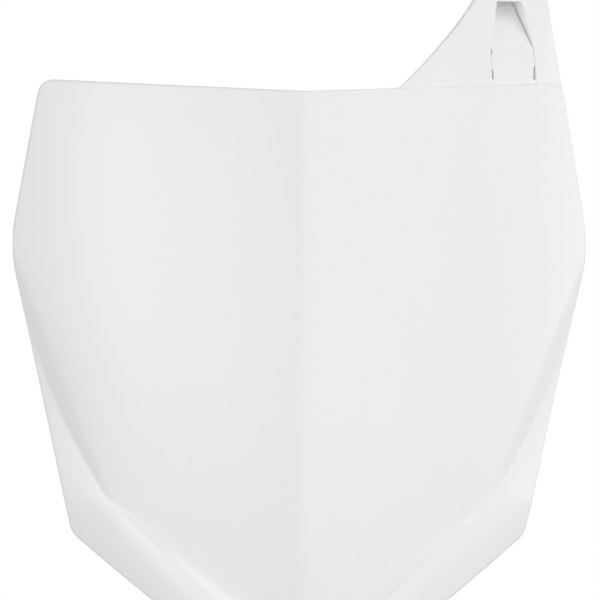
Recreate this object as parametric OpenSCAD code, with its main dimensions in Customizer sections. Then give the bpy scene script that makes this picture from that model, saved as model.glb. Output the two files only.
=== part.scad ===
// Front number board of an off-road motorcycle, moulded in one piece with its cable guide arm.
// The origin is at the chin bolt, on the seat behind the chin lug. The face looks along -Y,
// +X is to the right seen from the front and +Z is up.

/* [Board outline] */
// Height of the ridge top above the chin bolt
board_h = 252; // [240:1:264]
// Half the width at the upper corners
top_half_w = 109; // [104:0.5:115]
// Half the width where the sides meet at the widest point
wide_half_w = 121.8; // [118:0.1:128]
// Drop from the ridge top to the widest point
wide_drop = 66; // [55:0.5:75]
// Half the width at the lower side corners
low_half_w = 95; // [88:0.5:102]
// Drop from the ridge top to the lower side corners
low_drop = 185; // [178:0.5:192]
// Rise of the upper corners above the ridge top
top_rise = 4; // [1:0.1:8]
// Radius of the upper corners
top_corner_r = 7; // [4:0.5:12]
// Radius of the widest corners
wide_corner_r = 65; // [30:1:90]
// Radius of the lower side corners
low_corner_r = 10; // [6:0.5:16]

/* [Board form] */
// Wall thickness
wall_t = 2.4; // [2:0.1:3]
// Radius of the rounded front edge
edge_r = 0.9; // [0.5:0.1:1.2]
// Angle at which each flank leaves the ridge at its top
top_angle = 9.6; // [6:0.1:14]
// Angle at which each flank leaves the ridge at the chin bolt
chin_angle = 12.4; // [8:0.1:16]
// Radius of the bend across each flank
flank_bend_r = 312; // [250:1:500]
// Softness radius of the ridge
ridge_r = 8; // [4:0.5:14]
// How far the middle of the face bows forward
face_bow = 5; // [0:0.5:8]

/* [Wing and chin steps] */
// Depth of the step down from the face to the side wings
wing_step = 5; // [2:0.5:6]
// Height of the chin above the face at the ridge
chin_step = 9; // [5:0.5:10]
// Half width of the wing step at its widest, along X
wing_band = 5.4; // [4:0.1:7]
// Half width of the chin step at the ridge, along X
chin_band = 13; // [9:0.5:15]
// Half width of the steps where they cross over
knee_band = 1.8; // [1.2:0.1:3]
// How far inside the lower side corners the steps cross over
knee_in = 16.5; // [12:0.5:20]
// How far above the lower side corners they cross over
knee_up = 14.4; // [10:0.2:18]
// Height of the middle of the chin step above the bolt, at the ridge
apex_h = 19.4; // [12:0.2:22]

/* [Chin lug] */
// How far below the bolt the two lower edges would meet
nose_below = 4; // [2:0.5:6]
// Diameter of the bolt hole
bolt_d = 6.5; // [5.5:0.1:7]
// Radius of the lug round the bolt
lug_r = 12; // [11:0.5:15]
// Thickness of the lug along the bolt
lug_t = 5; // [4:0.5:7]
// Radius of the flat seat for the bolt head
seat_r = 8.5; // [7:0.1:9]

/* [Locating pegs] */
// Diameter of a peg
peg_d = 8; // [6:0.5:10]
// Length of a peg behind its shoulder
peg_l = 9; // [6:0.5:12]
// Diameter of the shoulder that the bush rests on
peg_base_d = 12; // [11:0.5:14]
// Distance between the two pegs
peg_spacing = 76; // [60:1:84]
// Drop from the ridge top to the pegs
peg_drop = 34; // [26:1:60]
// Height of the shoulder above the wall
peg_base_h = 6; // [4:0.5:8]
// Reach of the ribs beyond the shoulder
peg_rib_w = 5; // [3:0.5:7]
// Thickness of a rib
rib_t = 1.6; // [1.2:0.1:2]

/* [Cable guide arm] */
// How far the middle of the cable channel lies inside the upper corner
arm_in = 21.2; // [18:0.2:24]
// How far the foot of the arm's curved edge lies from the middle of the channel
arm_foot_w = 45.2; // [40:0.2:50]
// How far the foot of the arm's straight edge stands outside the upper corner
arm_side_out = 0.8; // [-2:0.2:1]
// Thickness of the arm
arm_t = 2.6; // [2.2:0.1:3]
// How far the arm is set back from the face
arm_setback = 1.4; // [1:0.1:1.6]
// How far the arm reaches down behind the board
arm_root = 12; // [8:1:16]
// Height of the window above the top of the board
window_h = 33.6; // [32:0.2:38]
// Width of the window at its foot
window_foot_w = 21.2; // [18:0.2:22]
// Width of the window where the tongue bends
window_bend_w = 20.6; // [17:0.2:21]
// Width of the window at its top
window_top_w = 11.6; // [9:0.2:14]
// How far the window's foot lies nearer the middle of the board than the channel's middle
window_off = -0.6; // [-2:0.1:2]
// How far the top of the window leans from its foot towards the middle of the board
window_shift = 3.2; // [0:0.1:4]
// Height of the channel axis above the window
hood_rise = 9; // [8:0.5:12]
// Inner radius of the cable channel
cable_r = 5; // [4:0.1:5.5]
// Length of the cable channel
hood_l = 32; // [28:0.5:34]
// Height of the hood's rear lip below the channel axis
lip_h = 3.5; // [2:0.5:4.5]
// Depth of the walls beside the window
cheek_d = 10; // [8:0.5:12]
// Thickness of the walls beside the window
cheek_t = 1.8; // [1.4:0.1:2.2]
// Thickness of the spring tongue
tongue_t = 2.2; // [1.8:0.1:2.6]
// Gap on each side of the tongue
tongue_gap = 0.4; // [0.3:0.1:0.7]
// How much wider the gaps are at the tongue's root
root_gap = 0.6; // [0.4:0.1:1.2]
// Height of the wider gaps above the window's foot
root_gap_h = 8.5; // [5:0.5:12]
// Height at which the tongue bends back, at the middle of its width
tongue_bend_h = 14.6; // [12:0.2:18]
// How steeply the line of the bend falls towards the middle of the board
tongue_bend_tilt = 7; // [0:0.5:10]
// How far back the tongue's tip leans
tongue_lean = 5.6; // [4:0.2:8]

/* [Hidden] */
shell_white = "#f2f2f1";

// The front skin meets the lug a little behind the bolt head's seat
seat_proud = 0.4;
face_y = seat_proud + chin_step - lug_t;
nose_drop = board_h + nose_below;
knee = [low_half_w - knee_in, low_drop - knee_up];
apex_drop = board_h - apex_h;
// Slopes of the lower edge, half width lost per unit of drop, at its two ends
low_edge_slope = 1.16;
nose_slope = 1.36;
// Height over which the rise of the top edge fades out
rise_fade = 60;
// Where the wing step leaves the side, seen from the widest point, and how steeply
wing_start = [wide_half_w - 2.2, wide_drop + 3.2];
wing_start_slope = 0.27;
wing_end_slope = 0.55;
wing_ctrl = meet(wing_start, -wing_start_slope, knee, -wing_end_slope);
// Softness radius of the chin step where it crosses the ridge
chin_ridge_r = 3;
// Columns of the skin grid on each half: face, step, wing; the least room for the last two
face_cols = 8;
step_cols = 7;
wing_cols = 4;
least_step = 1.8;
least_wing = 1.2;
// Least share of the half width that the face columns take
least_face = 0.4;
// Places of the grid lines on the rounded front edge, as shares of its radius
edge_steps = [0, 0.3, 1];
// Half the stretches of closer rows at the widest point and at the lower side corners
wide_span = 12;
low_span = 4.5;
// The nose ends in a short flat edge, this far above its point
nose_blunt = 3;
// The web beside the lug: its thickness, its reach along X and how far it lies inside the lug below
web_t = 2.6;
web_reach = 15;
web_inset = 1.5;
// A peg's shoulder starts inside the wall, at this share of its thickness
shoulder_seat = 0.75;
// The channel's middle and the feet of the arm's two edges, along X
arm_x = top_half_w - arm_in;
arm_foot_x = arm_x - arm_foot_w;
arm_side_x = top_half_w + arm_side_out;
// The arm's turn about Z follows the flank where the channel stands
arm_turn = atan(flank_slope(arm_x, 0));
// Height of the arm's curved edge at its foot, length of the fillet there, and the pull of its waist
arm_foot_rise = 3;
arm_fillet = 4.5;
arm_waist = [23.2, 26];
// The arm's curved edge starts this far below the top edge
arm_dip = 0.5;
// How far the arm's straight edge runs in below the top of the board
arm_side_in = 1.8;
// How far inside the hood's ends the arm's two edges run out on its back face, along X
crown_in = 0.7;
// Spacing of the points along the arm's plan
plan_step = 4;
// Share of the window's lean at the tongue's bend
bend_share = 0.4;
// How far the walls beside the window ease in and out at its top
cheek_ease = 2;
// The tongue's tip stands a little above the window's top, and the hood's front wall starts there
tongue_over = 1.5;
hood_lap = 1;
// What the channel's bore takes off the inside of the hood
ream = 0.3;
// Axis of the cable channel: behind the arm's front, above the window's foot, above the ridge top
axis_y = arm_t + cable_r;
axis_h = window_h + hood_rise;
axis_z = axis_h + top_rise * arm_x / top_half_w;

function unit(v) = v / norm(v);
function clamp(x, low, high) = max(low, min(high, x));
function smooth(x) = let (t = clamp(x, 0, 1)) t * t * (3 - 2 * t);

// Where two lines [half width, drop] of given slopes meet
function meet(a, slope_a, b, slope_b) =
    let (drop = (b[0] - a[0] + slope_a * a[1] - slope_b * b[1]) / (slope_a - slope_b))
    [a[0] + slope_a * (drop - a[1]), drop];

// Point at t on the curve from a to b that is pulled towards c
function bend(a, c, b, t) = (1 - t) * (1 - t) * a + 2 * t * (1 - t) * c + t * t * b;

// Arc of radius r that rounds the corner at p between a and b, in n steps
function corner(a, p, b, r, n) =
    let (to_a = unit(a - p), to_b = unit(b - p), half = acos(to_a * to_b) / 2)
    let (mid = p + unit(to_a + to_b) * r / sin(half))
    let (from = p + to_a * r / tan(half) - mid, to = p + to_b * r / tan(half) - mid)
    let (a0 = atan2(from[1], from[0]), a1 = atan2(to[1], to[0]))
    let (turn = a1 - a0 > 180 ? a1 - a0 - 360 : (a1 - a0 < -180 ? a1 - a0 + 360 : a1 - a0))
    [for (k = [0:n]) mid + r * [cos(a0 + turn * k / n), sin(a0 + turn * k / n)]];

// Outline of the right half as [half width, drop], from the top edge down to the nose
top_pt = [top_half_w, 0];
wide_pt = [wide_half_w, wide_drop];
low_pt = [low_half_w, low_drop];
nose_pt = [0, nose_drop];
low_ctrl = meet(low_pt, -low_edge_slope, nose_pt, -nose_slope);
outline = concat(
    corner([0, 0], top_pt, wide_pt, top_corner_r, 8),
    corner(top_pt, wide_pt, low_pt, wide_corner_r, 8),
    corner(wide_pt, low_pt, low_ctrl, low_corner_r, 8),
    [for (t = [0.16:0.07:1]) bend(low_pt, low_ctrl, nose_pt, t)],
    [nose_pt]);
outline_by_drop = [for (p = outline) [p[1], p[0]]];
function half_w(drop) = lookup(drop, outline_by_drop);

// Middle line of the two steps, from the widest point to the crossing and on past the ridge
step_line = concat(
    [[0, wide_half_w]],
    [for (t = [0:0.1:1]) let (p = bend(wing_start, wing_ctrl, knee, t)) [p[1], p[0]]],
    [for (k = [1, 2]) [knee[1] + k * (apex_drop - knee[1]), knee[0] * (1 - k)]]);
function step_mid(drop) = lookup(drop, step_line);
function wing_share(drop) =
    drop < knee[1] ? sin(180 * clamp((drop - wing_start[1]) / (knee[1] - wing_start[1]), 0, 1)) : 0;
function chin_share(drop) = clamp((drop - knee[1]) / (apex_drop - knee[1]), 0, 1);
function step_band(drop) =
    knee_band + (wing_band - knee_band) * wing_share(drop) + (chin_band - knee_band) * chin_share(drop);
function step_h(drop) = chin_step * chin_share(drop) - wing_step * wing_share(drop);

// Depth of the front skin along +Y at u from the middle and a drop below the ridge top
function flank_tan(drop) = tan(top_angle) + (tan(chin_angle) - tan(top_angle)) * drop / board_h;
function flank(u, drop) =
    flank_tan(drop) * (sqrt(u * u + ridge_r * ridge_r) - ridge_r) + u * u / (2 * flank_bend_r);
function flank_slope(u, drop) = flank_tan(drop) * u / sqrt(u * u + ridge_r * ridge_r) + u / flank_bend_r;
function bow(drop) = face_bow * (1 - pow(2 * drop / board_h - 1, 2));
function step(u, drop) = step_h(drop)
    * smooth((sqrt(u * u + chin_ridge_r * chin_ridge_r) - step_mid(drop)) / (2 * step_band(drop)) + 0.5);
function skin_y(u, drop) = face_y + flank(u, drop) - bow(drop) - step(u, drop);

// Unit normal of the skin, pointing to the back
function skin_normal(u, drop) =
    let (e = 0.2)
    let (du = (skin_y(u + e, drop) - skin_y(u - e, drop)) / (2 * e))
    let (dd = (skin_y(u, drop + e) - skin_y(u, drop - e)) / (2 * e))
    unit([-du, 1, dd]);

function skin_z(u, drop) = board_h - drop + top_rise * u / top_half_w * max(0, 1 - drop / rise_fade);

// How far the rounded front edge falls back at a distance d from the edge
function edge_fall(d) = d >= edge_r ? 0 : edge_r - sqrt(edge_r * edge_r - (edge_r - d) * (edge_r - d));

// Values spaced evenly after a, up to b, in n steps
function between(a, b, n) = [for (k = [1:n]) a + (b - a) * k / n];

// Drops of the grid's rows
rows = concat(
    edge_r * edge_steps,
    [for (a = [45:15:90]) top_corner_r * (1 - cos(a))],
    between(top_corner_r, wide_drop - wide_span, 6),
    between(wide_drop - wide_span, wide_drop + wide_span, 2),
    between(wide_drop + wide_span, knee[1], 11),
    between(knee[1], low_drop - low_span, 3),
    between(low_drop - low_span, low_drop + low_span, 5),
    between(low_drop + low_span, nose_drop - nose_blunt, 14));

// Distances of a row's columns from the middle, each with its distance from the side edge
function columns(drop) =
    let (w = half_w(drop), slope = (half_w(drop + 0.1) - half_w(drop - 0.1)) / 0.2)
    let (rim = edge_r * sqrt(1 + min(slope * slope, 4)))
    let (a = clamp(step_mid(drop) - step_band(drop), least_face * w, w - rim - least_step - least_wing))
    let (b = clamp(step_mid(drop) + step_band(drop), a + least_step, w - rim - least_wing))
    concat(
        [for (k = [0:face_cols - 1]) [a * k / face_cols, edge_r]],
        [for (k = [0:step_cols - 1]) [a + (b - a) * k / step_cols, edge_r]],
        [for (k = [0:wing_cols - 1]) [b + (w - rim - b) * k / wing_cols, edge_r]],
        [for (k = [len(edge_steps) - 1:-1:0]) [w - rim * edge_steps[k], edge_r * edge_steps[k]]]);

half_cols = face_cols + step_cols + wing_cols + len(edge_steps);

function front_row(drop) =
    let (cols = columns(drop))
    [for (j = [1 - half_cols:half_cols - 1])
        let (c = cols[abs(j)], side = sign(j))
        [side * c[0], skin_y(c[0], drop) + edge_fall(min(c[1], drop)), skin_z(c[0], drop)]];

function back_row(drop) =
    let (cols = columns(drop))
    [for (j = [1 - half_cols:half_cols - 1])
        let (c = cols[abs(j)], n = skin_normal(c[0], drop), side = sign(j))
        [side * (c[0] + wall_t * n[0]), skin_y(c[0], drop) + wall_t * n[1],
            skin_z(c[0], drop) + wall_t * n[2]]];

module shell() {
    n = 2 * half_cols - 1;
    m = len(rows);
    points = concat([for (d = rows) each front_row(d)], [for (d = rows) each back_row(d)]);
    back = n * m;
    front_faces = [for (i = [0:m - 2], j = [0:n - 2]) let (p = i * n + j)
        each [[p, p + 1, p + n + 1], [p, p + n + 1, p + n]]];
    back_faces = [for (i = [0:m - 2], j = [0:n - 2]) let (p = back + i * n + j)
        each [[p, p + n + 1, p + 1], [p, p + n, p + n + 1]]];
    ends = [for (j = [0:n - 2], i = [0, m - 1]) let (p = i * n + j, q = back + p)
        each i == 0 ? [[p, q, q + 1], [p, q + 1, p + 1]] : [[p, q + 1, q], [p, p + 1, q + 1]]];
    sides = [for (i = [0:m - 2], j = [0, n - 1]) let (p = i * n + j, q = back + p)
        each j == 0 ? [[p, q + n, q], [p, p + n, q + n]] : [[p, q, q + n], [p, q + n, p + n]]];
    polyhedron(points = points, faces = concat(front_faces, back_faces, ends, sides), convexity = 6);
}

// Outline in X and Z, extruded from the front plane y0 back to y1
module along_y(y0, y1) {
    translate([0, y1, 0]) rotate([90, 0, 0]) linear_extrude(y1 - y0) children();
}

// Outline in Y and Z, extruded along X over a length centred on the middle
module along_x(length) {
    rotate([90, 0, 90]) linear_extrude(length, center = true) children();
}

// Round lug that carries the chin bolt, with a web that runs out into the lower edges
module chin_lug() {
    along_y(-lug_t, 0) circle(r = lug_r, $fn = 72);
    along_y(-web_t, 0) hull() {
        circle(r = lug_r - web_inset, $fn = 32);
        translate([-web_reach, lug_r / 2]) square([2 * web_reach, lug_r / 3]);
    }
}

// Peg for a rubber bush, on a shoulder braced by two crossed ribs
module peg(side) {
    u = peg_spacing / 2;
    reach = peg_base_d / 2 + peg_rib_w;
    seat = wall_t / 2;
    rise = wall_t + peg_base_h;
    slopes = [side * flank_slope(u, peg_drop), (skin_y(u, peg_drop - 1) - skin_y(u, peg_drop + 1)) / 2];
    translate([side * u, skin_y(u, peg_drop), skin_z(u, peg_drop)]) {
        along_y(seat, rise + peg_l) circle(d = peg_d, $fn = 48);
        along_y(shoulder_seat * wall_t, rise) circle(d = peg_base_d, $fn = 60);
        for (k = [0, 1]) rotate([0, -90 * k, 0]) linear_extrude(rib_t, center = true)
            polygon([[-reach, seat - slopes[k] * reach], [reach, seat + slopes[k] * reach],
                [peg_base_d / 2, rise - rib_t / 2], [-peg_base_d / 2, rise - rib_t / 2]]);
    }
}

// Plan of the arm: a band that follows the board's top edge, set back behind its face
function arm_plan(u, d) =
    [u, skin_y(u, 0) + arm_setback] + d * unit([-flank_slope(u, 0), 1]);

// The arm's front outline in X and Z, from the foot of its curved edge round to its straight side
module arm_outline() {
    foot = [arm_foot_x, top_rise * arm_foot_x / top_half_w + arm_foot_rise];
    crown = hood_l / 2 * cos(arm_turn) - arm_t * sin(arm_turn) - crown_in;
    polygon(concat(
        [[arm_foot_x - arm_root, -arm_root], [foot[0] - arm_fillet, foot[1] - arm_foot_rise - arm_dip]],
        [for (t = [0:0.25:1])
            bend(foot - [arm_fillet, arm_foot_rise], foot - [arm_foot_rise, arm_foot_rise], foot, t)],
        [for (t = [0.1:0.1:1]) bend(foot, [arm_x - arm_waist[0], arm_waist[1]], [arm_x - crown, axis_z], t)],
        [[arm_x + crown, axis_z], [arm_side_x, 0], [arm_side_x - arm_side_in, -arm_root]]));
}

module arm_sheet() {
    reach = [for (u = [arm_foot_x - arm_root:plan_step:arm_side_x + plan_step]) u];
    band = concat([for (u = reach) arm_plan(u, 0)],
        [for (k = [len(reach) - 1:-1:0]) arm_plan(reach[k], arm_t)]);
    intersection() {
        translate([0, 0, -arm_root - 1]) linear_extrude(axis_z + arm_root + 1) polygon(band);
        along_y(0, 2 * cheek_d + arm_plan(arm_side_x, 0)[1]) arm_outline();
    }
}

// One side of the window from its foot up, or of a piece that is narrower by a gap at each height
stations = [
    [0, window_foot_w, 0],
    [root_gap_h, window_foot_w + (window_bend_w - window_foot_w) * root_gap_h / tongue_bend_h,
        bend_share * root_gap_h / tongue_bend_h],
    [tongue_bend_h, window_bend_w, bend_share],
    [window_h, window_top_w, 1]];
function window_side(side, gaps) = [for (k = [0:3]) let (s = stations[k])
    [side * (s[1] / 2 - gaps[k]) - window_off - window_shift * s[2], s[0]]];
module window(gaps, low, high) {
    left = window_side(-1, gaps);
    right = window_side(1, gaps);
    polygon(concat([[left[0][0], low]], left, [[left[3][0], high], [right[3][0], high]],
        [for (k = [3:-1:0]) right[k]], [[right[0][0], low]]));
}

// Walls that run back from both sides of the window
module cheeks() {
    intersection() {
        along_y(arm_t / 2, cheek_d) difference() {
            window([for (s = stations) -cheek_t], 0, window_h);
            window([for (s = stations) 0], -cheek_t, window_h + cheek_t);
        }
        along_x(2 * window_foot_w) polygon([[0, 0], [arm_t, 0], [cheek_d, tongue_bend_h],
            [cheek_d, window_h - cheek_ease], [arm_t, window_h + cheek_ease], [0, window_h + cheek_ease]]);
    }
}

// Spring tongue: level with the arm up to its bend, then leaning back under the channel
module tongue() {
    front = arm_t - tongue_t;
    gaps = [tongue_gap + root_gap, tongue_gap, tongue_gap, tongue_gap];
    tip = window_h + tongue_over;
    // The section through the tongue runs past its root and tip, on the same slope
    low = -arm_root - tongue_bend_h;
    high = 2 * (tip - tongue_bend_h);
    intersection() {
        along_y(0, 2 * cheek_d) window(gaps, -arm_root / 2, tip);
        translate([-window_off, 0, tongue_bend_h]) rotate([0, -tongue_bend_tilt, 0])
            along_x(2 * window_foot_w) polygon([[front, low], [front, 0], [front + 2 * tongue_lean, high],
                [arm_t + 2 * tongue_lean, high], [arm_t, 0], [arm_t, low]]);
    }
}

// Hood that curls over the cable, open behind between its lip and the tongue
module hood() {
    along_x(hood_l) {
        intersection() {
            translate([axis_y, axis_h]) difference() {
                circle(r = cable_r + arm_t, $fn = 72);
                circle(r = cable_r - ream, $fn = 72);
            }
            translate([0, axis_h]) square([2 * axis_y, axis_y]);
        }
        translate([0, window_h + hood_lap]) square([arm_t, hood_rise - hood_lap]);
        translate([axis_y + cable_r - ream, axis_h - lip_h]) square([arm_t + ream, lip_h]);
        translate([axis_y + cable_r + arm_t / 2, axis_h - lip_h]) circle(d = arm_t, $fn = 32);
    }
}

// Puts what is drawn about the foot of the window in its place on the arm
module at_window() {
    translate([arm_x, skin_y(arm_x, 0) + arm_setback, skin_z(arm_x, 0)]) rotate([0, 0, arm_turn])
        children();
}

module arm() {
    difference() {
        translate([0, 0, board_h]) arm_sheet();
        at_window() along_y(-arm_t, 2 * cheek_d) window([for (s = stations) 0], 0, window_h);
    }
    at_window() {
        cheeks();
        tongue();
        hood();
    }
}

module number_board() {
    color(shell_white) difference() {
        union() {
            shell();
            chin_lug();
            for (side = [-1, 1]) peg(side);
            arm();
        }
        along_y(-2 * lug_t, lug_t) circle(d = bolt_d, $fn = 48);
        along_y(-3 * lug_t, -lug_t) circle(r = seat_r, $fn = 60);
        at_window() translate([0, axis_y, axis_h]) rotate([0, 90, 0])
            cylinder(r = cable_r, h = hood_l + 2 * arm_t, center = true, $fn = 72);
    }
}

number_board();
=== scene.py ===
import math

import bpy
import numpy as np
from mathutils import Matrix, Vector


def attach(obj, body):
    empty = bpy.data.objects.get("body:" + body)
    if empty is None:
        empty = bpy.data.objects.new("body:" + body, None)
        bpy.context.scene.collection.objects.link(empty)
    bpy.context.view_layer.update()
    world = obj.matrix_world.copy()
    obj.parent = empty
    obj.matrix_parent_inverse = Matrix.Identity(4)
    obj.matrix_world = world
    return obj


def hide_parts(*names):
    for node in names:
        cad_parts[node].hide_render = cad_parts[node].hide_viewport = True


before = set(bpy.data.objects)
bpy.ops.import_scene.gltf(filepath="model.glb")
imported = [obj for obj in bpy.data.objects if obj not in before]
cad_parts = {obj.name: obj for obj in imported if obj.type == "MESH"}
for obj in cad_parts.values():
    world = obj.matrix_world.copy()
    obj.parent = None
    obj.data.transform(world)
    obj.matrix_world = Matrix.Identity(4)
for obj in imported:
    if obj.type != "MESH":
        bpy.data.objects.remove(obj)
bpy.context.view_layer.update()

# A motocross number board, one moulding of gloss white polypropylene. Lengths are in millimetres and
# angles in degrees, in the frame's axes: X to the right, the face towards -Y, Z up, the chin bolt at 0.
# A point of the board is given by u, its X, and by drop, how far it lies below the top of the ridge.

millimetre = 0.001
probe = 0.1    # distance over which slopes are measured

board = {
    "height": 252.0,                      # chin bolt to the top of the ridge
    "topHalf": 109.0,                     # half the width at the upper corners
    "wideHalf": 121.8, "wideDrop": 66.0,
    "lowHalf": 95.0, "lowDrop": 185.0,
    "topRise": 4.0, "riseFade": 60.0,     # the top edge climbs to its corners
    "cornerRadii": (7.0, 65.0, 10.0),
    "noseBelow": 4.0, "lowSlope": 1.16, "noseSlope": 1.36,
    "chinStart": 0.14,                    # share of the chin's curve that the lower corner's arc takes up
    "wall": 2.4, "edgeRadius": 0.9, "backEdgeRadius": 0.4,
    "flankAngles": (9.6, 12.4),           # at the top of the ridge and at the chin bolt
    "bendRadius": 312.0, "ridgeRadius": 8.0, "bow": 5.0,
    "crispRadii": (1.1, 2.4), "crispFade": (8.0, 75.0),
}
steps = {
    "wingDepth": 6.0,
    "chinHeight": 9.0, "chinRise": 8.85,    # the solid's, and a hair less here to stay in its box
    "wingBand": 6.4, "chinBand": 13.0, "kneeBand": 1.8,
    "kneeInside": (16.5, 14.4),    # from the lower side corners inward and up to where the steps cross
    "apexHeight": 19.4, "ridgeSoftness": 3.0,
    # Places and softness of the two creases and how far their curves reach, as shares of the band
    "creases": ((-0.35, 0.45), (0.62, 0.07)), "creaseReach": (-2.5, 1.5),
    "chinCrease": 0.16, "chinCreaseGrowth": 3.0,
    "sweepRadius": 110.0, "sweepFade": (-28.0, 16.0),
    "startIn": (2.2, 3.2), "startSlope": 0.27, "endSlope": 0.55,
}
lug = {
    "thickness": 5.0, "proud": 0.4, "radius": 12.0, "hole": 3.25, "edgeRadius": 0.7, "points": 96,
    "webThickness": 2.6, "webInset": 1.5, "webBack": 0.2, "webEdgeRadius": 0.06, "webPoints": 144,
    "webReach": 15.0, "webHeights": (10.0, 6.0), "webHoleGap": 1.0, "hullPoints": 200,
    "shellEnd": 2.2, "shellArch": 4.0, "archReach": 25.0,    # how the shell ends in the lug
}
faceDepth = lug["proud"] + steps["chinHeight"] - lug["thickness"]
arcPoints, curvePoints, cornerPoints = 40, 60, 5


# Shapes of lines

# The direction of a vector: v / its length
def unit(v):
    return v / np.linalg.norm(v)


# Where two lines [half width, drop] cross: a + slope * (drop - a's drop), for both
def meet(a, slopeA, b, slopeB):
    drop = (b[0] - a[0] + slopeA * a[1] - slopeB * b[1]) / (slopeA - slopeB)
    return np.array([a[0] + slopeA * (drop - a[1]), drop])


# Quadratic curve from a to b pulled towards c: (1-t)^2 a + 2t(1-t) c + t^2 b
def bend(a, c, b, t):
    t = np.asarray(t)[:, None]
    return (1 - t) ** 2 * np.asarray(a) + 2 * t * (1 - t) * np.asarray(c) + t ** 2 * np.asarray(b)


# Arc that rounds the corner at p: centre on the bisector at radius / sin(half angle)
def roundCorner(a, p, b, radius):
    toA, toB = unit(a - p), unit(b - p)
    half = math.acos(float(toA @ toB)) / 2
    centre = p + unit(toA + toB) * radius / math.sin(half)
    first, last = (p + d * radius / math.tan(half) - centre for d in (toA, toB))
    angleA, angleB = (math.atan2(d[1], d[0]) for d in (first, last))
    turn = (angleB - angleA + math.pi) % (2 * math.pi) - math.pi
    angle = angleA + turn * np.linspace(0, 1, arcPoints)
    return centre + radius * np.stack([np.cos(angle), np.sin(angle)], 1)


# The outline of one half: arcs at its three corners, then the chin's curve down to the nose
topPoint = np.array([board["topHalf"], 0.0])
widePoint = np.array([board["wideHalf"], board["wideDrop"]])
lowPoint = np.array([board["lowHalf"], board["lowDrop"]])
nosePoint = np.array([0.0, board["height"] + board["noseBelow"]])
lowPull = meet(lowPoint, -board["lowSlope"], nosePoint, -board["noseSlope"])
turns = [np.zeros(2), topPoint, widePoint, lowPoint, lowPull]
arcs = [roundCorner(*turns[k:k + 3], radius) for k, radius in enumerate(board["cornerRadii"])]
chinCurve = bend(lowPoint, lowPull, nosePoint, np.linspace(board["chinStart"], 1, curvePoints))
outline = np.concatenate(arcs + [chinCurve])

# The line of the steps: the wing step curves down to the knee, the chin step runs on to the apex
knee = lowPoint - np.array(steps["kneeInside"])
apexDrop = board["height"] - steps["apexHeight"]
wingStart = widePoint + np.array([-steps["startIn"][0], steps["startIn"][1]])
wingPull = meet(wingStart, -steps["startSlope"], knee, -steps["endSlope"])
stepLine = np.concatenate([
    [[board["wideHalf"], 0.0]],
    bend(wingStart, wingPull, knee, np.linspace(0, 1, curvePoints)),
    [[0.0, apexDrop], [-knee[0], 2 * apexDrop - knee[1]]],
])


# Half the board's width at a drop, read off the outline
def halfWidth(drop):
    return np.interp(drop, outline[:, 1], outline[:, 0])


# The board's skin

# Soft climb from 0 to 1: x^2 (3 - 2x)
def smooth(x):
    x = np.clip(x, 0, 1)
    return x * x * (3 - 2 * x)


# A crease of softness r at a distance t past it: (sqrt(t^2 + r^2) + t) / 2
def crease(t, r):
    return (np.sqrt(t * t + r * r) + t) / 2


# A wall between two creases, from 0 on the face to 1 on the wing or chin: the first crease less the
# second, as a share of its whole climb. It is broad where the wall leaves the face, less so on the
# chin, and crisp at the wall's foot
def ramp(x, chin):
    (first, broad), (last, crisp) = steps["creases"]
    broad = broad + (steps["chinCrease"] - broad) * np.minimum(1, steps["chinCreaseGrowth"] * chin)
    low, high = steps["creaseReach"]
    here, start, end = (crease(t - first, broad) - crease(t - last, crisp)
                        for t in (np.clip(x, low, high), low, high))
    return (here - start) / (end - start)


# Shares of the wing step, sin(180 deg * way down to the knee), and of the chin step, linear below it
def stepShares(drop):
    way = np.clip((drop - wingStart[1]) / (knee[1] - wingStart[1]), 0, 1)
    wing = np.where(drop < knee[1], np.sin(np.pi * way), 0)
    chin = np.clip((drop - knee[1]) / (apexDrop - knee[1]), 0, 1)
    return wing, chin


# Half the width of a step's wall: the knee's, widened by the shares of the wing and the chin
def stepBand(drop):
    wing, chin = stepShares(drop)
    return (steps["kneeBand"] + (steps["wingBand"] - steps["kneeBand"]) * wing
            + (steps["chinBand"] - steps["kneeBand"]) * chin)


# The middle of a step's wall, read off the line of the steps
def stepMiddle(drop):
    return np.interp(drop, stepLine[:, 1], stepLine[:, 0])


# Tangent of the angle at which the flanks leave the ridge, linear from its top to the chin bolt
def ridgeTangent(drop):
    first, last = (math.tan(math.radians(a)) for a in board["flankAngles"])
    return first + (last - first) * drop / board["height"]


# How far a flank has swept back at u: tangent (sqrt(u^2 + r^2) - r) + u^2 / 2R. Beside the ridge r is
# the crisper radius that the polished surface shows, and that fades out into the flank
def flank(u, drop):
    top, bottom = board["crispRadii"]
    radii = board["ridgeRadius"], top + (bottom - top) * drop / board["height"]
    soft, crisp = (np.sqrt(u * u + r * r) - r for r in radii)
    first, last = board["crispFade"]
    share = 1 - smooth((np.abs(u) - first) / (last - first))
    return ridgeTangent(drop) * (soft + (crisp - soft) * share) + u * u / (2 * board["bendRadius"])


# Slope of a flank: tangent u / sqrt(u^2 + r^2) + u / R
def flankSlope(u, drop=0.0):
    return ridgeTangent(drop) * u / np.sqrt(u * u + board["ridgeRadius"] ** 2) + u / board["bendRadius"]


# Depth along +Y of the front skin: flank, less the bow of the face, less the steps. Outside its step
# the chin curves back a little, from just above the knee down: past^2 / 2R
def skinDepth(u, drop):
    wing, chin = stepShares(drop)
    height = steps["chinRise"] * chin - steps["wingDepth"] * wing
    offset = (np.sqrt(u * u + steps["ridgeSoftness"] ** 2) - stepMiddle(drop)) / stepBand(drop)
    bow = board["bow"] * (1 - (2 * drop / board["height"] - 1) ** 2)
    past = np.maximum(0, np.abs(u) - stepMiddle(drop) - stepBand(drop))
    first, last = (knee[1] + d for d in steps["sweepFade"])
    lean = past * past / (2 * steps["sweepRadius"]) * smooth((drop - first) / (last - first))
    return faceDepth + flank(u, drop) - bow - height * ramp(offset, chin) + lean


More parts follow.
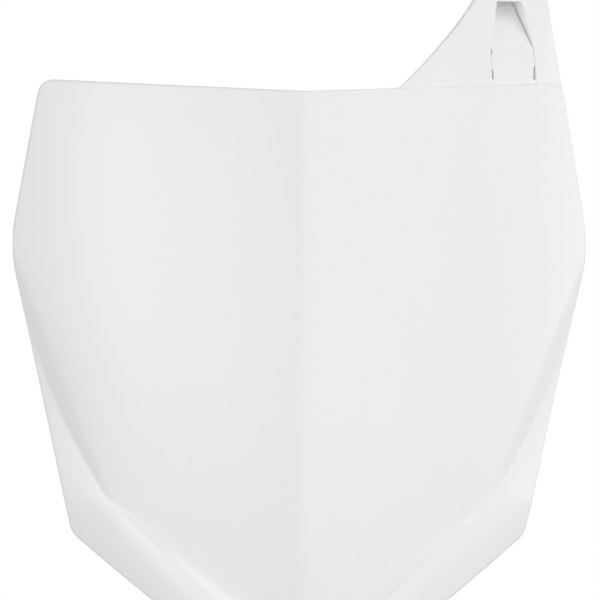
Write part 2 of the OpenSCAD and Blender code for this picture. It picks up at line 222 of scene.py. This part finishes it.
# Height of the skin: the board's less the drop, and a rise towards the corners that fades further down
def skinHeight(u, drop):
    fade = np.maximum(0, 1 - drop / board["riseFade"])
    return board["height"] - drop + board["topRise"] * u / board["topHalf"] * fade


# Slopes of the skin's depth across and down the board, from differences over the probe's distance
def skinSlopes(u, drop):
    acrossBoard = (skinDepth(u + probe, drop) - skinDepth(u - probe, drop)) / (2 * probe)
    downBoard = (skinDepth(u, drop + probe) - skinDepth(u, drop - probe)) / (2 * probe)
    return acrossBoard, downBoard


# Unit normals towards the back: (-slope across, 1, slope down)
def skinNormal(u, drop):
    acrossBoard, downBoard = skinSlopes(u, drop)
    n = np.stack([-acrossBoard, np.ones_like(acrossBoard), downBoard], -1)
    return n / np.linalg.norm(n, axis=-1, keepdims=True)


# Fall of a rounded edge at a distance d from it: r - sqrt(r^2 - (r - d)^2)
def edgeFall(d, radius):
    reach = np.clip(radius - d, 0, radius)
    return radius - np.sqrt(radius * radius - reach * reach)


# Materials

# An sRGB hex colour as linear values: c / 12.92 where it is dark, else ((c + 0.055) / 1.055)^2.4
def linear(hexColour):
    parts = [int(hexColour[k:k + 2], 16) / 255 for k in (1, 3, 5)]
    return [p / 12.92 if p <= 0.04045 else ((p + 0.055) / 1.055) ** 2.4 for p in parts] + [1.0]


# Adds a node with its settings, the values of its sockets and the links that run into it
def addNode(tree, kind, settings=None, inputs=None, links=None):
    node = tree.nodes.new(kind)
    for key, value in (settings or {}).items():
        setattr(node, key, value)
    for key, value in (inputs or {}).items():
        node.inputs[key].default_value = value
    for key, source in (links or {}).items():
        tree.links.new(source, node.inputs[key])
    return node


plastic = {
    "white": "#f0f0f0", "paleCloud": "#f1f1f1",
    "flowWidth": 45.0,    # size of the melt's flow marks
    "skinGrain": 1.2,     # the fine skin, drawn coarser than its real 0.7 so that it shows
    "grainStrength": 0.02, "grainHeight": 0.03,
    "ior": 1.49, "specular": 0.35, "roughness": 0.275,
}


# Injection moulded polypropylene, polished tool: clean white with a soft broad gloss. The melt
# leaves faint cloudy marks in the white, and a fine skin barely breaks the gloss up.
def mouldedWhitePlastic():
    material = bpy.data.materials.new("mouldedWhitePolypropylene")
    material.use_nodes = True
    tree = material.node_tree
    tree.nodes.clear()
    place = addNode(tree, "ShaderNodeTexCoord")
    where = place.outputs["Object"]
    flowScale, grainScale = (1 / (plastic[size] * millimetre) for size in ("flowWidth", "skinGrain"))
    flow = addNode(tree, "ShaderNodeTexNoise", inputs={"Scale": flowScale, "Detail": 1.0, "Roughness": 0.4},
                   links={"Vector": where})
    grain = addNode(tree, "ShaderNodeTexNoise", inputs={"Scale": grainScale, "Detail": 2.0},
                    links={"Vector": where})
    colour = addNode(tree, "ShaderNodeMix", {"data_type": "RGBA"}, links={"Factor": flow.outputs["Fac"]})
    # Inputs 6 and 7 and output 2 are the node's own colour sockets
    colour.inputs[6].default_value = linear(plastic["white"])
    colour.inputs[7].default_value = linear(plastic["paleCloud"])
    bump = addNode(tree, "ShaderNodeBump",
                   inputs={"Strength": plastic["grainStrength"],
                           "Distance": plastic["grainHeight"] * millimetre},
                   links={"Height": grain.outputs["Fac"]})
    shader = addNode(tree, "ShaderNodeBsdfPrincipled",
                     inputs={"IOR": plastic["ior"], "Metallic": 0.0, "Roughness": plastic["roughness"],
                             "Specular IOR Level": plastic["specular"]},
                     links={"Base Color": colour.outputs[2], "Normal": bump.outputs["Normal"]})
    addNode(tree, "ShaderNodeOutputMaterial", links={"Surface": shader.outputs["BSDF"]})
    return material


whitePlastic = mouldedWhitePlastic()
print("material ready")


# Pieces from points and faces

# Faces of a grid of points. Closed rows join the last row to the first, and closed columns likewise
def gridFaces(rows, cols, closedRows=False, closedCols=False):
    i = np.arange(rows if closedRows else rows - 1)
    j = np.arange(cols if closedCols else cols - 1)
    i, j = (a.ravel() for a in np.meshgrid(i, j, indexing="ij"))
    up, right = (i + 1) % rows, (j + 1) % cols
    return np.stack([i * cols + j, i * cols + right, up * cols + right, up * cols + j], 1)


# A smooth shaded piece of white plastic, from points in millimetres, on the part's one body
def makeMesh(name, points, faces):
    mesh = bpy.data.meshes.new(name)
    points = np.asarray(points, dtype=float).reshape(-1, 3) * millimetre
    mesh.from_pydata(points.tolist(), [], [list(map(int, f)) for f in faces])
    mesh.polygons.foreach_set("use_smooth", np.full(len(mesh.polygons), True))
    mesh.update()
    piece = bpy.data.objects.new(name, mesh)
    bpy.context.collection.objects.link(piece)
    piece.data.materials.append(whitePlastic)
    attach(piece, "root")
    return piece


# A sheet with thickness: front and back points share the faces, and a rim runs along every edge
# that only one face uses. Points that no face uses are dropped
def thickSheet(name, front, back, faces):
    used, faces = np.unique(faces, return_inverse=True)
    faces = faces.reshape(-1, 4)
    count = len(used)
    edges = np.concatenate([faces[:, [k, (k + 1) % 4]] for k in range(4)])
    rim = edges[~np.isin(edges[:, 0] * count + edges[:, 1], edges[:, 1] * count + edges[:, 0])]
    rimFaces = np.stack([rim[:, 1], rim[:, 0], rim[:, 0] + count, rim[:, 1] + count], 1)
    points = np.concatenate([front.reshape(-1, 3)[used], back.reshape(-1, 3)[used]])
    return makeMesh(name, points, np.concatenate([faces, faces[:, ::-1] + count, rimFaces]))


# Rounds a piece's sharp edges, those that turn by more than 40 degrees
def roundEdges(piece, radius, segments):
    rounding = piece.modifiers.new("roundedEdges", "BEVEL")
    rounding.width = radius * millimetre
    rounding.segments = segments
    rounding.limit_method = "ANGLE"
    rounding.angle_limit = math.radians(40)
    rounding.harden_normals = True


# Points along a profile with its corners replaced by curves that leave each corner's sides at the
# radius, or at two fifths of a shorter side
def easeCorners(corners, radius):
    corners = np.asarray(corners, dtype=float)
    out = []
    for k, p in enumerate(corners):
        a, b = corners[k - 1], corners[(k + 1) % len(corners)]
        reach = min(radius, np.linalg.norm(a - p) / 2.5, np.linalg.norm(b - p) / 2.5)
        t = np.linspace(0, 1, cornerPoints)
        out.append(bend(p + unit(a - p) * reach, p, p + unit(b - p) * reach, t))
    return np.concatenate(out)


# Rows and columns of the shell's grid, closer where the outline turns and at the rounded edges
shellGrid = {
    "edgePoints": 7,
    "rows": (12, 28, 16, 56, 10, 14, 56),
    "wideTurn": (12.0, 14.0), "lowTurn": (4.0, 6.0),    # how far the closer rows run above and below
    "columns": (46, 24, 12),                            # face, step and wing or chin
    "columnPowers": (1.7, 1, 1),                        # the face's columns crowd towards the ridge
    "faceShare": 0.4, "stepLeast": 1.0,
    "stepMargin": 3.0, "wingMargin": 1.2,               # room left inside the rounded edge
    "steepest": 2.0,
}


# Drops of the rows at the side edge: quarter arc of the top edge, then even rows in each stretch
def skinRows():
    wide, low = board["wideDrop"], board["lowDrop"]
    edge = board["edgeRadius"] * (1 - np.cos(np.linspace(0, np.pi / 2, shellGrid["edgePoints"])))
    stops = [edge[-1], board["cornerRadii"][0],
             wide - shellGrid["wideTurn"][0], wide + shellGrid["wideTurn"][1], knee[1],
             low - shellGrid["lowTurn"][0], low + shellGrid["lowTurn"][1],
             board["height"] - lug["shellEnd"]]
    stretches = zip(stops, stops[1:], shellGrid["rows"])
    return np.concatenate([edge] + [np.linspace(a, b, n + 1)[1:] for a, b, n in stretches])


# Columns of every row, from the ridge to the side edge, with their distance from that edge
def skinColumns(drop):
    drop = drop[:, None]
    width = halfWidth(drop)
    slope = (halfWidth(drop + probe) - halfWidth(drop - probe)) / (2 * probe)
    rim = board["edgeRadius"] * np.sqrt(1 + np.minimum(slope * slope, shellGrid["steepest"] ** 2))
    middle, band = stepMiddle(drop), stepBand(drop)
    inner = np.clip(middle - band, shellGrid["faceShare"] * width, width - rim - shellGrid["stepMargin"])
    outer = np.clip(middle + band, inner + shellGrid["stepLeast"], width - rim - shellGrid["wingMargin"])
    stretches = zip([(0, inner), (inner, outer), (outer, width - rim)],
                    shellGrid["columns"], shellGrid["columnPowers"])
    columns = [a + (b - a) * np.linspace(0, 1, n, endpoint=False) ** power
               for (a, b), n, power in stretches]
    # The last columns round the edge: their distance from it is the radius * sin of an even angle
    away = 1 - np.sqrt(1 - np.cos(np.linspace(0, np.pi / 2, shellGrid["edgePoints"])) ** 2)
    columns.append(width - rim * (1 - away[::-1]))
    edge = np.concatenate([np.ones(sum(shellGrid["columns"])), 1 - away[::-1]]) * board["edgeRadius"]
    return np.concatenate(columns, 1), edge


# The shell: the skin with its rounded edge in front, and behind it the same skin moved along its
# normals by the wall's thickness, which thins at the edge. The left half mirrors the right
def makeShell():
    rowDrop = skinRows()
    u, edge = skinColumns(rowDrop)
    # Near the nose the rows arch up, so that the last one ends inside the lug, above the bolt hole
    late = smooth((rowDrop - rowDrop[-1] + lug["archReach"]) / lug["archReach"])[:, None]
    drop = rowDrop[:, None] - lug["shellArch"] * late * (1 - (u / u[:, -1:]) ** 2)
    nearest = np.minimum(edge, drop)
    depth, height, normal = skinDepth(u, drop), skinHeight(u, drop), skinNormal(u, drop)
    front = np.stack([u, depth + edgeFall(nearest, board["edgeRadius"]), height], -1)
    thin = board["wall"] - edgeFall(nearest, board["backEdgeRadius"])
    back = np.stack([u, depth, height], -1) + thin[..., None] * normal
    mirror = np.array([-1, 1, 1])
    front, back = (np.concatenate([s[:, :0:-1] * mirror, s], 1) for s in (front, back))
    faces = gridFaces(*front.shape[:2])[:, ::-1]
    return thickSheet("boardShell", front, back, faces)


shell = makeShell()
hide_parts("number_board")
print("board shell made:", len(shell.data.polygons), "faces")


# A ring round the bolt's axis: each row has its depth, and a radius at every angle
def makeRing(name, radius, depth, angle):
    points = np.stack(np.broadcast_arrays(radius * np.cos(angle), depth, radius * np.sin(angle)), 2)
    faces = gridFaces(*points.shape[:2], closedRows=True, closedCols=True)[:, ::-1]
    makeMesh(name, points, faces)


# A full turn in even steps, without its last angle, which is its first
def fullTurn(count):
    return np.linspace(0, 2 * np.pi, count, endpoint=False)


# The lug: a rectangle [radius, depth] with eased corners, carried once round the bolt's axis
def makeChinLug():
    r, hole = lug["radius"], lug["hole"]
    profile = easeCorners([(hole, 0), (hole, -lug["thickness"]), (r, -lug["thickness"]), (r, 0)],
                          lug["edgeRadius"])
    makeRing("chinLug", profile[:, :1], profile[:, 1:], fullTurn(lug["points"]))


# The web reaches out to the hull round a circle in the lug and a bar above it. Its reach in a
# direction is the least of support / cosine over the hull's normals, where the support is how far
# the hull goes along a normal
def makeChinWeb():
    bar = np.array([[lug["webReach"], height] for height in lug["webHeights"]])
    angle = fullTurn(lug["webPoints"])
    folded = np.abs((angle - np.pi / 2 + np.pi) % (2 * np.pi) - np.pi)
    direction = np.stack([np.sin(folded), np.cos(folded)], 1)
    turn = np.linspace(-np.pi / 2, np.pi / 2, lug["hullPoints"])
    normals = np.stack([np.cos(turn), np.sin(turn)], 1)
    circle = (lug["radius"] - lug["webInset"]) * normals
    support = (normals @ np.concatenate([circle, bar]).T).max(1)
    # The bar's flat top cuts the hull off
    normals = np.concatenate([normals, [[0.0, 1.0]]])
    support = np.append(support, bar[0, 1])
    facing = direction @ normals.T
    reach = np.where(facing > 1e-6, support / np.maximum(facing, 1e-6), np.inf).min(1)
    near, far = -lug["webBack"], -lug["webThickness"]
    profile = easeCorners([(0, near), (0, far), (1, far), (1, near)], lug["webEdgeRadius"])
    inner = lug["hole"] + lug["webHoleGap"]
    radius = inner + (reach - inner) * profile[:, :1]
    makeRing("chinWeb", radius, profile[:, 1:], angle)


makeChinLug()
makeChinWeb()
print("chin lug made")

pegs = {
    "diameter": 8.0, "length": 9.0, "baseDiameter": 12.0, "baseHeight": 6.0, "spacing": 76.0, "drop": 34.0,
    "sunk": 0.75,          # share of the wall in front of the peg's hidden end
    "edgeRadius": 0.5, "points": 64, "axisGap": 0.01,
    "ribReach": 5.0, "ribThickness": 1.6, "ribEdgeRadius": 0.25,
}


# A flat outline in the plane of axes a and b, thickened both ways along c, with its edges rounded
def makePlate(name, corners, origin, a, b, thickness, edgeRadius):
    corners = np.asarray(corners, dtype=float)
    a, b = np.asarray(a, dtype=float), np.asarray(b, dtype=float)
    c = np.cross(a, b)
    flat = np.asarray(origin) + corners[:, :1] * a + corners[:, 1:] * b
    points = np.concatenate([flat - c * thickness / 2, flat + c * thickness / 2])
    n = len(corners)
    faces = [list(range(n - 1, -1, -1)), list(range(n, 2 * n))]
    faces += [[k, (k + 1) % n, n + (k + 1) % n, n + k] for k in range(n)]
    roundEdges(makeMesh(name, points, faces), edgeRadius, 3)


# A peg on its base: a profile [radius, depth] carried once round the peg's axis, and two ribs
def makePeg(side, name):
    u, drop = np.array(pegs["spacing"] / 2), np.array(pegs["drop"])
    x, depth, height = side * float(u), float(skinDepth(u, drop)), float(skinHeight(u, drop))
    start = pegs["sunk"] * board["wall"]
    rise = board["wall"] + pegs["baseHeight"]
    tip = rise + pegs["length"]
    base, pin, gap, count = pegs["baseDiameter"] / 2, pegs["diameter"] / 2, pegs["axisGap"], pegs["points"]
    corners = [(0, start), (base, start), (base, rise), (pin, rise), (pin, tip), (0, tip)]
    # The two corners on the axis give way to narrow rings, which the end faces close
    line = easeCorners(corners, pegs["edgeRadius"])[cornerPoints:-cornerPoints]
    line = np.concatenate([[[gap, start]], line, [[gap, tip]]])
    angle = fullTurn(count)
    points = np.stack([x + line[:, :1] * np.cos(angle), depth + line[:, 1:] + 0 * angle,
                       height + line[:, :1] * np.sin(angle)], -1)
    faces = [f[::-1] for f in gridFaces(len(line), count, closedCols=True)]
    last = (len(line) - 1) * count
    faces += [list(range(count)), list(range(last + count - 1, last - 1, -1))]
    makeMesh(name, points, faces)
    # The ribs start inside the wall, along its slope, and end just below the top of the base
    reach = base + pegs["ribReach"]
    seat, low = board["wall"] / 2, rise - pegs["ribThickness"] / 2
    slopes = side * float(flankSlope(u, drop)), -float(skinSlopes(u, drop)[1])
    for tag, axis, slope in zip(("Across", "Upright"), ((1, 0, 0), (0, 0, 1)), slopes):
        corners = [(-reach, seat - slope * reach), (reach, seat + slope * reach), (base, low), (-base, low)]
        makePlate(name + "Rib" + tag, corners, (x, depth, height), axis, (0, 1, 0),
                  pegs["ribThickness"], pegs["ribEdgeRadius"])


makePeg(-1, "pegLeft")
makePeg(1, "pegRight")
print("pegs made")

arm = {
    "inside": 21.2,           # from the upper corner in to the middle of the cable channel
    "footWidth": 45.2,        # from there to the foot of the curved edge
    "sideOutside": 0.8, "sideIn": 1.8,
    "thickness": 2.6, "setback": 1.4, "root": 12.0, "edgeRadius": 0.7,
    "footRise": 3.0, "fillet": 4.5, "dip": 0.5, "waist": (23.2, 26.0), "curveStart": 0.05, "crownIn": 0.7,
    "filletPoints": 12, "curvePoints": 30,
    "sideRoll": 2.5, "sideRollDepth": 1.3, "sideRollFade": 9.0,
    # Rows up to just below the board's edge, the window's foot, the bend, the window's top and the hood
    "rows": (6, 12, 12, 14, 6), "footBand": 3.0,
    "columns": (16, 8, 8, 6),    # beside the window, in it, beside it, and on the rolled side
}
window = {
    "height": 34.4, "widths": (21.2, 20.6, 11.6),    # at the foot, the bend and the top
    "bendHeight": 14.6, "bendTilt": 7.0,
    "off": -0.6, "shift": 3.2, "bendShare": 0.4,     # how its middle moves to the left on the way up
    "wallDepth": 10.0, "wallThickness": 1.8, "wallEase": (0.5, 3.0), "wallOver": 2.5, "wallGap": 0.03,
    "wallEdgeRadius": 0.45, "wallRows": 34,
}
hood = {
    "rise": 8.2, "lap": 0.4, "cableRadius": 5.0, "length": 32.0, "lipHeight": 3.5,
    "swing": 4.0, "points": 41, "lipPoints": 4,
}
tongue = {
    "thickness": 2.2, "lean": 7.4, "over": 2.6, "bendRadius": 0.7, "edgeRadius": 0.6,
    "beadHeight": 0.14, "beadWidth": 0.6,
    # Widths of the two slits at heights above the window's foot: closed at their roots, wide just
    # above, then a hair's breadth
    "slitLeft": ((2.0, 2.4, 5.6, 6.4, 12.4, 13.0, 15.2, 17.0), (-0.1, 1.0, 0.8, 0.2, 0.2, 0.8, 0.6, 0.2)),
    "slitRight": ((2.0, 2.4, 7.6, 8.0, 14.0, 30.0), (-0.1, 1.5, 0.5, 0.02, 0.05, 0.9)),
    "rowStops": (1.6, 3.2, 22.0), "rows": (6, 9, 64, 12), "columns": 24,
}

armX = board["topHalf"] - arm["inside"]
footX = armX - arm["footWidth"]
sideX = board["topHalf"] + arm["sideOutside"]
armTurn = math.atan(float(flankSlope(armX)))
armFoot = np.array([armX, float(skinDepth(np.array(armX), np.array(0.0))) + arm["setback"],
                    float(skinHeight(np.array(armX), np.array(0.0)))])
across = np.array([math.cos(armTurn), math.sin(armTurn), 0])
backward = np.array([-math.sin(armTurn), math.cos(armTurn), 0])
upward = np.array([0.0, 0.0, 1.0])
axisHeight = window["height"] + hood["rise"]


# From the window's own axes (across, back, up) to the frame's
def fromWindow(x, y, z):
    x, y, z = np.broadcast_arrays(x, y, z)
    return armFoot + x[..., None] * across + y[..., None] * backward + z[..., None] * upward


# Left and right sides of the window at a height above its foot
def windowSides(height):
    heights = (0.0, window["bendHeight"], window["height"])
    half = np.interp(height, heights, window["widths"]) / 2
    middle = -window["off"] - window["shift"] * np.interp(height, heights, (0, window["bendShare"], 1))
    return middle - half, middle + half


# The arm's two edges, as X at a height above the ridge top: on the left a fillet and one curve pulled
# towards the waist, on the right two straight stretches
def armEdges(z):
    crown = (hood["length"] / 2 * math.cos(armTurn) - arm["thickness"] * math.sin(armTurn)
             - arm["crownIn"])
    axisZ = axisHeight + board["topRise"] * armX / board["topHalf"]
    foot = np.array([footX, board["topRise"] * footX / board["topHalf"] + arm["footRise"]])
    filletStart = foot - np.array([arm["fillet"], arm["footRise"]])
    waist = np.array([armX - arm["waist"][0], arm["waist"][1]])
    curve = np.concatenate([
        [[footX - arm["root"], -arm["root"]], [filletStart[0], filletStart[1] - arm["dip"]]],
        bend(filletStart, foot - arm["footRise"], foot, np.linspace(0, 1, arm["filletPoints"])),
        bend(foot, waist, np.array([armX - crown, axisZ]),
             np.linspace(arm["curveStart"], 1, arm["curvePoints"])),
    ])
    left = np.interp(z, curve[:, 1], curve[:, 0])
    right = np.interp(z, (-arm["root"], 0, axisZ), (sideX - arm["sideIn"], sideX, armX + crown))
    return left, right


# A column grid over several stretches, each given by its two sides and its count of columns
def spread(stops, counts):
    parts = [a[:, None] + (b - a)[:, None] * np.linspace(0, 1, n, endpoint=False)
             for a, b, n in zip(stops, stops[1:], counts)]
    return np.concatenate(parts + [stops[-1][:, None]], 1)


# The rows' height above the window's foot, their depth behind the arm's front, and the angle that
# they have turned: 0 up the arm, a half circle over the hood, 180 degrees down its lip
def armRows(foot):
    reach = hood["cableRadius"] + arm["thickness"]
    stops = (-arm["root"] - foot, -foot - arm["footBand"], 0, window["bendHeight"], window["height"],
             axisHeight)
    straight = np.concatenate([np.linspace(a, b, n, endpoint=False)
                               for a, b, n in zip(stops, stops[1:], arm["rows"])])
    turn = np.linspace(0, np.pi, hood["points"])
    lip = np.linspace(0, hood["lipHeight"], hood["lipPoints"])[1:]
    height = np.concatenate([straight, axisHeight + reach * np.sin(turn), axisHeight - lip])
    depth = np.concatenate([0 * straight, reach * (1 - np.cos(turn)), 2 * reach + 0 * lip])
    angle = np.concatenate([0 * straight, turn, np.pi + 0 * lip])
    return height, depth, angle


# X of every column, from the curved edge over the window's sides to the straight edge. Above the
# window the edges swing out to the hood's two ends
def armColumns(flat, foot):
    left, right = armEdges(flat + foot)
    swing = smooth((flat - window["height"] - hood["lap"]) / hood["swing"])
    end = hood["length"] / 2 * math.cos(armTurn)
    left = left + (armX - end - left) * swing
    right = right + (armX + end - right) * swing
    sides = [armX + w * math.cos(armTurn) for w in windowSides(flat)]
    return spread([left, *sides, right - arm["sideRoll"], right], arm["columns"])


# The arm with its hood: front points are the board's curve set back, which grows flat from half way up
# the window, and back points lie the thickness behind them. The window's faces are left out
def makeArm():
    foot = armFoot[2] - board["height"]
    height, depth, angle = armRows(foot)
    flat = np.minimum(np.where(angle > 0, axisHeight, height), axisHeight)
    x = armColumns(flat, foot)
    level = smooth((flat / window["height"] - 0.5) * 2)[:, None, None]
    sheet = np.stack([x, skinDepth(x, np.zeros_like(x)) + arm["setback"], 0 * x], -1)
    # The side rolls back along the lower arm, and the roll fades out above the bend
    rolled = np.clip(1 - (x[:, -1:] - x) / arm["sideRoll"], 0, 1) ** 2
    fade = 1 - smooth((flat - window["bendHeight"]) / arm["sideRollFade"])[:, None]
    sheet[..., 1] += arm["sideRollDepth"] * rolled * fade
    bulge = (sheet - armFoot * [1, 1, 0]) @ backward
    straightened = sheet - (bulge[..., None] * level) * backward
    normal = np.stack([-flankSlope(x), np.ones_like(x), 0 * x], -1)
    normal = normal / np.linalg.norm(normal, axis=-1, keepdims=True)
    normal = normal * (1 - level) + backward * level
    c, s = np.cos(angle)[:, None, None], np.sin(angle)[:, None, None]
    inward = normal * c - upward * s
    front = straightened + depth[:, None, None] * backward + (armFoot[2] + height)[:, None, None] * upward
    back = front + arm["thickness"] * inward
    cols = x.shape[1]
    faces = gridFaces(*x.shape)
    row, col = faces[:, 0] // cols, faces[:, 0] % cols
    beside, inside = arm["columns"][:2]
    inWindow = ((height[row] >= 0) & (height[row] < window["height"]) & (angle[row] == 0)
                & (col >= beside) & (col < beside + inside))
    roundEdges(thickSheet("guideArm", front, back, faces[~inWindow]), arm["edgeRadius"], 4)


# A wall beside the window: its section [across, depth] is a rectangle whose depth changes with height
def makeWindowWall(side, name):
    height = np.linspace(0, window["height"] + window["wallOver"], window["wallRows"])
    ease = [window["height"] + e for e in window["wallEase"]]
    deep = np.interp(height, (0, window["bendHeight"], *ease),
                     (arm["thickness"], window["wallDepth"], window["wallDepth"], arm["thickness"]))
    inner = windowSides(height)[0 if side < 0 else 1] + side * window["wallGap"]
    outer = inner + side * window["wallThickness"]
    near = np.full_like(height, arm["thickness"] / 2)
    section = np.stack([inner, inner, outer, outer], 1), np.stack([near, deep, deep, near], 1)
    points = fromWindow(*section, height[:, None])
    faces = gridFaces(len(height), 4, closedCols=True)
    faces = list(faces if side < 0 else faces[:, ::-1])
    bottom, top = list(range(4)), list(range(4 * len(height) - 4, 4 * len(height)))
    faces += [bottom[::-1], top] if side < 0 else [bottom, top[::-1]]
    roundEdges(makeMesh(name, points, faces), window["wallEdgeRadius"], 3)


# The spring tongue: level with the arm up to its bend, then leaning back under the channel. The line
# of the bend is tilted, so each column bends at a height of its own
def makeTongue():
    near = arm["thickness"] - tongue["thickness"]
    tip = window["height"] + tongue["over"]
    slope = tongue["lean"] / (tip - window["bendHeight"])
    stops = (-arm["root"] / 2, *tongue["rowStops"], tip)
    stretches = [np.linspace(a, b, n) for a, b, n in zip(stops, stops[1:], tongue["rows"])]
    height = np.concatenate([stretches[0]] + [stretch[1:] for stretch in stretches[1:]])
    left, right = windowSides(height)
    left = left + np.interp(height, *tongue["slitLeft"])
    right = right - np.interp(height, *tongue["slitRight"])
    x = spread([left, right], (tongue["columns"],))
    tilt = math.tan(math.radians(window["bendTilt"]))
    over = height[:, None] - window["bendHeight"] - tilt * (x + window["off"])
    # Smooth corner: half of slope (over + sqrt(over^2 + r^2)), which is level far below the bend. A
    # low bead stands out along it: height exp(-(over / width)^2)
    bent = slope / 2 * (over + np.sqrt(over * over + tongue["bendRadius"] ** 2))
    bent = bent - tongue["beadHeight"] * np.exp(-(over / tongue["beadWidth"]) ** 2)
    lean = slope / 2 * (1 + over / np.sqrt(over * over + tongue["bendRadius"] ** 2))
    length = np.sqrt(1 + lean * lean)
    sheets = [fromWindow(x, near + bent + offset / length, height[:, None] - offset * lean / length)
              for offset in (0, tongue["thickness"])]
    roundEdges(thickSheet("springTongue", *sheets, gridFaces(*x.shape)), tongue["edgeRadius"], 4)


makeArm()
makeWindowWall(-1, "windowWallLeft")
makeWindowWall(1, "windowWallRight")
makeTongue()
print("cable guide arm made")

# The stage: a plain pale floor under the part, white light all round and seven soft lamps

stage = {
    "floorHeight": -14.0, "floorHalf": 330.0, "floorColour": "#e8e8e8", "floorGlow": 0.28,
    "worldLevel": 0.33, "backgroundLevel": 1.0,
    "lampTarget": (0, 0, 0.14), "lampDistance": 1.4,    # in metres
    # Turn and lift in degrees, width in metres and power in watts of every lamp
    "lamps": {
        "broadLamp": (15.0, 8.0, 1.7, 5.4),
        "leftLamp": (-39.0, 4.0, 0.9, 5.0),
        "sideLamp": (-50.0, 4.0, 0.4, 1.4),
        "rightLamp": (80.0, 6.0, 0.9, 5.4),
        "highLamp": (46.0, 57.0, 0.5, 2.9),
        "backLamp": (180.0, 12.0, 0.9, 2.2),
        "farRightLamp": (104.0, 6.0, 1.2, 1.2),
    },
}


# White to the camera and in reflections, a plain level for everything else
def backgroundShare(tree):
    path = addNode(tree, "ShaderNodeLightPath")
    seen = addNode(tree, "ShaderNodeMath", {"operation": "MAXIMUM"},
                   links={0: path.outputs["Is Camera Ray"], 1: path.outputs["Is Glossy Ray"]})
    return addNode(tree, "ShaderNodeMath", {"operation": "MAXIMUM"},
                   links={0: seen.outputs[0], 1: path.outputs["Is Transmission Ray"]}).outputs[0]


# The world: white light, its strength set by the kind of ray
def makeWorld():
    world = bpy.data.worlds.new("paleStudio")
    bpy.context.scene.world = world
    world.use_nodes = True
    tree = world.node_tree
    tree.nodes.clear()
    level = addNode(tree, "ShaderNodeMapRange",
                    inputs={"To Min": stage["worldLevel"], "To Max": stage["backgroundLevel"]},
                    links={"Value": backgroundShare(tree)})
    glow = addNode(tree, "ShaderNodeBackground", inputs={"Color": (1, 1, 1, 1)},
                   links={"Strength": level.outputs["Result"]})
    addNode(tree, "ShaderNodeOutputWorld", links={"Surface": glow.outputs[0]})


# Matt paint on a board: pale, and lifted by a little glow for the camera, under which shadows stay
def paleFloorPaint():
    material = bpy.data.materials.new("paleFloorPaint")
    material.use_nodes = True
    tree = material.node_tree
    tree.nodes.clear()
    paint = addNode(tree, "ShaderNodeBsdfDiffuse", inputs={"Color": linear(stage["floorColour"])})
    path = addNode(tree, "ShaderNodeLightPath")
    lift = addNode(tree, "ShaderNodeMath", {"operation": "MULTIPLY"}, inputs={1: stage["floorGlow"]},
                   links={0: path.outputs["Is Camera Ray"]})
    glow = addNode(tree, "ShaderNodeEmission", links={"Strength": lift.outputs[0]})
    both = addNode(tree, "ShaderNodeAddShader", links={0: paint.outputs[0], 1: glow.outputs[0]})
    addNode(tree, "ShaderNodeOutputMaterial", links={"Surface": both.outputs[0]})
    return material


def makeFloor():
    half, z = stage["floorHalf"] * millimetre, stage["floorHeight"] * millimetre
    mesh = bpy.data.meshes.new("floor")
    corners = [(-half, -half, z), (half, -half, z), (half, half, z), (-half, half, z)]
    mesh.from_pydata(corners, [], [(0, 1, 2, 3)])
    mesh.materials.append(paleFloorPaint())
    floor = bpy.data.objects.new("floor", mesh)
    bpy.context.collection.objects.link(floor)


# Points an object's -Z at a target
def aim(thing, place, target, roll=0.0):
    direction = Vector(target) - Vector(place)
    turned = direction.to_track_quat("-Z", "Y").to_matrix().to_4x4()
    rolled = turned @ Matrix.Rotation(math.radians(roll), 4, "Z")
    thing.matrix_world = Matrix.Translation(Vector(place)) @ rolled


# A point at a distance from a target, turned to the right of the front and lifted above it, in degrees
def around(target, distance, turn, lift):
    a, b = math.radians(turn), math.radians(lift)
    offset = Vector((math.sin(a) * math.cos(b), -math.cos(a) * math.cos(b), math.sin(b)))
    return Vector(target) + distance * offset


# A round soft lamp that faces the part
def makeLamp(name, turn, lift, width, power):
    lamp = bpy.data.lights.new(name, "AREA")
    lamp.shape = "DISK"
    lamp.size = width
    lamp.energy = power
    holder = bpy.data.objects.new(name, lamp)
    bpy.context.collection.objects.link(holder)
    aim(holder, around(stage["lampTarget"], stage["lampDistance"], turn, lift), stage["lampTarget"])


# Target and distance in metres, lens and sensor in millimetres
view = {
    "target": (0.0, 0.041, 0.1644), "distance": 1.5, "turn": -2.3, "lift": 3.5, "roll": 0.5,
    "lens": 214.8, "sensor": 36.0,
}


def makeCamera():
    camera = bpy.data.cameras.new("camera")
    camera.lens = view["lens"]
    camera.sensor_width = view["sensor"]
    camera.sensor_fit = "HORIZONTAL"
    holder = bpy.data.objects.new("camera", camera)
    bpy.context.collection.objects.link(holder)
    place = around(view["target"], view["distance"], view["turn"], view["lift"])
    aim(holder, place, view["target"], view["roll"])
    bpy.context.scene.camera = holder


makeFloor()
makeWorld()
for lampName, lampValues in stage["lamps"].items():
    makeLamp(lampName, *lampValues)
makeCamera()
bpy.context.scene.view_settings.view_transform = "Standard"
print("stage, light and camera made")
